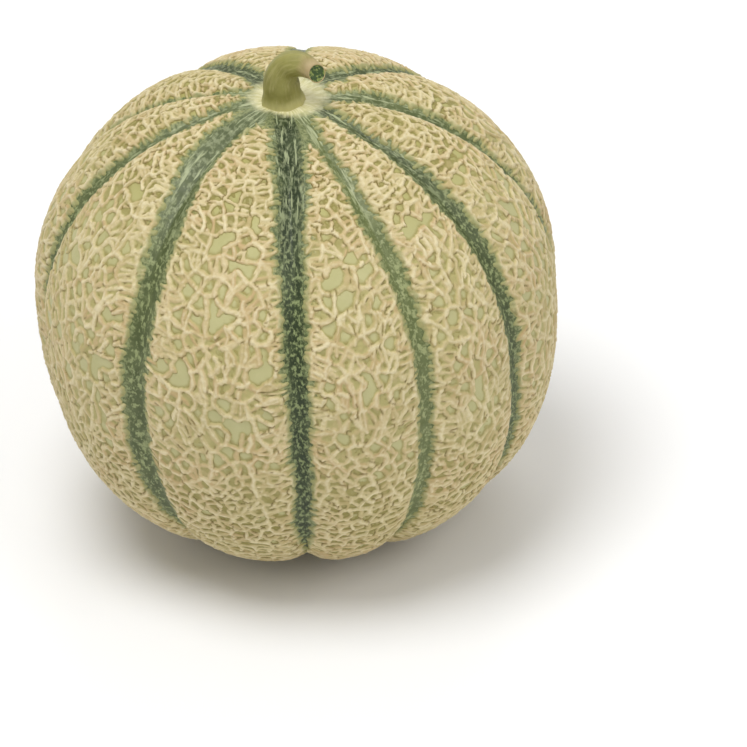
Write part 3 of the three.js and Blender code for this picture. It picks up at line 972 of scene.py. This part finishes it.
def stem_materials():
    material, wires, shader = new_material("olive stem")
    place = wires.node("ShaderNodeTexCoord").outputs["Object"]
    along = wires.attribute("stem_along")
    fibres = wires.noise(wires.stretched(wires.attribute("stem_grain", "Vector"), 0.12), 1.4, 3, 0.6)
    patch = wires.noise(place, 260, 3, 0.5)
    olive = wires.blend(wires.span(patch, 0.3, 0.7), linear("7C7834"), linear("908C4A"))
    olive = wires.blend(wires.math("MULTIPLY", wires.span(fibres, 0.45, 0.7), 0.45), olive, linear("A9A36A"))
    foot = wires.span(wires.math("MULTIPLY_ADD", fibres, 0.08, along), 0.03, 0.16)
    olive = wires.blend(foot, linear("BDB67A"), olive)
    blush = wires.span(wires.math("MULTIPLY_ADD", patch, 0.25, along), 0.86, 1.12, 0, 0.7)
    olive = wires.blend(blush, olive, linear("B39A76"))
    wires.feed(shader.inputs["Base Color"], olive)
    wires.feed(shader.inputs["Roughness"], wires.span(patch, 0.3, 0.7, 0.48, 0.62))
    relief = wires.math("MULTIPLY_ADD", wires.noise(place, 1600, 3), 0.5, fibres)
    wires.bump(shader, relief, 0.3, 0.0002)
    shader.inputs["Subsurface Weight"].default_value = 0.12
    shader.inputs["Subsurface Radius"].default_value = (0.8, 1.0, 0.4)
    shader.inputs["Subsurface Scale"].default_value = 0.0015

    cut, wires, shader = new_material("moist cut end")
    place = wires.node("ShaderNodeTexCoord").outputs["Object"]
    pith = wires.noise(place, 1500, 4, 0.7)
    spots = wires.span(wires.noise(place, 1100, 2, 0.5), 0.5, 0.62)
    flesh = wires.blend(pith, linear("24380F"), linear("3F5A20"))
    flesh = wires.blend(wires.math("MULTIPLY", spots, 0.8), flesh, linear("8E9A4C"))
    wires.feed(shader.inputs["Base Color"], flesh)
    wires.feed(shader.inputs["Roughness"], wires.span(pith, 0.3, 0.7, 0.3, 0.5))
    wires.bump(shader, pith, 0.5, 0.0002)
    return [material, cut]


def stem_ring(middle, across, over, reach):
    """The points of one ring of the stem round its middle."""
    return middle + across * (reach * np.cos(angles))[:, None] + over * (reach * np.sin(angles))[:, None]


stem_line, stem_ways, stem_length = smooth_line(STEM_LINE, STEM_RINGS + 1)
cut_normal = np.array(STEM_CUT_NORMAL) / np.linalg.norm(STEM_CUT_NORMAL)
angles = np.linspace(0, 2 * np.pi, STEM_SIDES, endpoint=False)
stem_places = []
for ring, (middle, way) in enumerate(zip(stem_line, stem_ways)):
    along = ring / STEM_RINGS
    axis = np.array([0, 0, 1.0]) if ring == 0 else way
    axis = axis + (cut_normal - axis) * smooth_step(0.7, 1, along)
    axis = axis / np.linalg.norm(axis)
    across = np.cross([0, 1, 0], axis)
    across = across / np.linalg.norm(across)
    over = np.cross(axis, across)
    bend = STEM_RADIUS + (STEM_BEND_RADIUS - STEM_RADIUS) * smooth_step(0.2, 0.62, along)
    radius = bend + (STEM_CUT_RADIUS - bend) * smooth_step(0.6, 1, along)
    flare = (STEM_FOOT_RADIUS - STEM_RADIUS) * math.exp(-((along * stem_length / STEM_FLARE_LENGTH) ** 2))
    smoother = 1 - smooth_step(0.75, 1, along)
    ridge = STEM_RIDGE_HEIGHT * np.cos(STEM_RIDGES * angles + 1.2 + 0.8 * along) * smoother
    scallop = STEM_SCALLOP * flare * (np.sin(9 * angles + 0.7) + 0.6 * np.sin(14 * angles + 2.1))
    lump = STEM_LUMP_HEIGHT * np.sin(2 * angles + 9 * along)
    reach = radius + flare + ridge + scallop + lump * smooth_step(0.1, 0.3, along)
    stem_places.append(stem_ring(middle, across, over, reach))
for share, depth in CUT_RINGS:
    beads = CUT_BEAD_HEIGHT * np.sin(CUT_BEADS * angles) if share == CUT_BEADED_RING else 0 * angles
    middle = stem_line[-1] + cut_normal * (depth + beads)[:, None] * CUT_RELIEF
    stem_places.append(stem_ring(middle, across, over, STEM_CUT_RADIUS * share))
stem_places = np.array(stem_places)
stem_places[:, :, 2] -= STEM_SUNK * (1 - smooth_step(0, 2, stem_places[:, :, 2]))

# A ring of edges, extruded ring by ring up the stem and then into the cut
stem_form = bmesh.new()
foot = bmesh.ops.create_circle(stem_form, segments=STEM_SIDES, radius=STEM_FOOT_RADIUS)["verts"]
loops = [foot]
edges = list(stem_form.edges)
for _ in stem_places[1:]:
    grown = bmesh.ops.extrude_edge_only(stem_form, edges=edges)["geom"]
    edges = [part for part in grown if isinstance(part, bmesh.types.BMEdge)]
    edges = [edge for edge in edges if not any(end in loops[-1] for end in edge.verts)]
    loops.append([part for part in grown if isinstance(part, bmesh.types.BMVert)])
stem_form.verts.index_update()
stem_along = np.zeros(len(stem_form.verts))
stem_grain = np.zeros((len(stem_form.verts), 3))
for level, (loop, ring) in enumerate(zip(loops, stem_places)):
    for vertex in loop:
        side = round(math.atan2(vertex.co.y, vertex.co.x) / (2 * math.pi) * STEM_SIDES) % STEM_SIDES
        stem_along[vertex.index] = level / STEM_RINGS
        east, north = math.cos(angles[side]), math.sin(angles[side])
        height = level * stem_length / STEM_RINGS
        stem_grain[vertex.index] = (STEM_FIBRE_RADIUS * east, height, STEM_FIBRE_RADIUS * north)
        vertex.co = (ring[side] + (STEM_OFFSET, 0, STEM_SEAT)) * MM
cut_loops = loops[STEM_RINGS + CUT_EDGE_RINGS:]
cut_faces = {face for loop in cut_loops for vertex in loop for face in vertex.link_faces}
open_edges = [edge for edge in stem_form.edges if edge.is_boundary]
caps = bmesh.ops.holes_fill(stem_form, edges=open_edges, sides=0)["faces"]
cut_faces |= {face for face in caps if face.calc_center_median().z > (STEM_SEAT + 4) * MM}
for face in cut_faces:
    face.material_index = 1
bmesh.ops.triangulate(stem_form, faces=caps)
stem = finished_piece("stem_stub", stem_form, stem_materials())
set_attribute(stem.data, "stem_along", stem_along)
set_attribute(stem.data, "stem_grain", stem_grain)
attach(stem, "root")
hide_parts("stem")


# Floor. A plain white table top, which isn't part of the melon.
FLOOR_HALF = 8.0

floor_form = bmesh.new()
bmesh.ops.create_grid(floor_form, x_segments=1, y_segments=1, size=FLOOR_HALF)
paper, _, shader = new_material("white table top")
shader.inputs["Base Color"].default_value = (0.9, 0.9, 0.9, 1)
shader.inputs["Roughness"].default_value = 0.9
shader.inputs["Specular IOR Level"].default_value = 0.1
floor = finished_piece("table_top", floor_form, [paper])


# Light and camera. Soft studio light from the upper left, and a long lens that looks down at the front.
CAMERA_DISTANCE = 6
CAMERA_ELEVATION = 33
CAMERA_ROLL = 3.44
SENSOR_WIDTH = 36
VIEW_WIDTH = 0.2132
AIM_RIGHT = 0.0218
AIM_DOWN = 0.0264


def softbox(name, place, size, power):
    light = bpy.data.lights.new(name, "AREA")
    light.shape = "DISK"
    light.size = size
    light.energy = power
    lamp = bpy.data.objects.new(name, light)
    lamp.location = place
    lamp.rotation_euler = (Vector((0, 0, 0.07)) - Vector(place)).to_track_quat("-Z", "Y").to_euler()
    bpy.context.scene.collection.objects.link(lamp)


softbox("key", (-0.38, -0.35, 1.85), 1.1, 21.5)
softbox("fill", (1.2, -0.9, 1.3), 1.2, 8)
softbox("back", (0.2, 1.3, 1.4), 1.0, 6)

world = bpy.data.worlds.new("studio")
world.use_nodes = True
world.node_tree.nodes["Background"].inputs["Color"].default_value = (1, 1, 1, 1)
world.node_tree.nodes["Background"].inputs["Strength"].default_value = 0.5
bpy.context.scene.world = world
bpy.context.scene.view_settings.view_transform = "Standard"

tilt = math.radians(CAMERA_ELEVATION)
back = Vector((0, -math.cos(tilt), math.sin(tilt)))
sight = back.to_track_quat("Z", "Y") @ Quaternion((0, 0, 1), -math.radians(CAMERA_ROLL))
lens = bpy.data.cameras.new("front")
lens.sensor_width = SENSOR_WIDTH
lens.lens = SENSOR_WIDTH / 2 / (VIEW_WIDTH / 2 / CAMERA_DISTANCE)
camera = bpy.data.objects.new("front", lens)
camera.rotation_mode = "QUATERNION"
camera.rotation_quaternion = sight
aim = Vector((0, 0, RING_HEIGHT * MM)) + sight @ Vector((AIM_RIGHT, -AIM_DOWN, 0))
camera.location = aim + back * CAMERA_DISTANCE
bpy.context.scene.collection.objects.link(camera)
bpy.context.scene.camera = camera
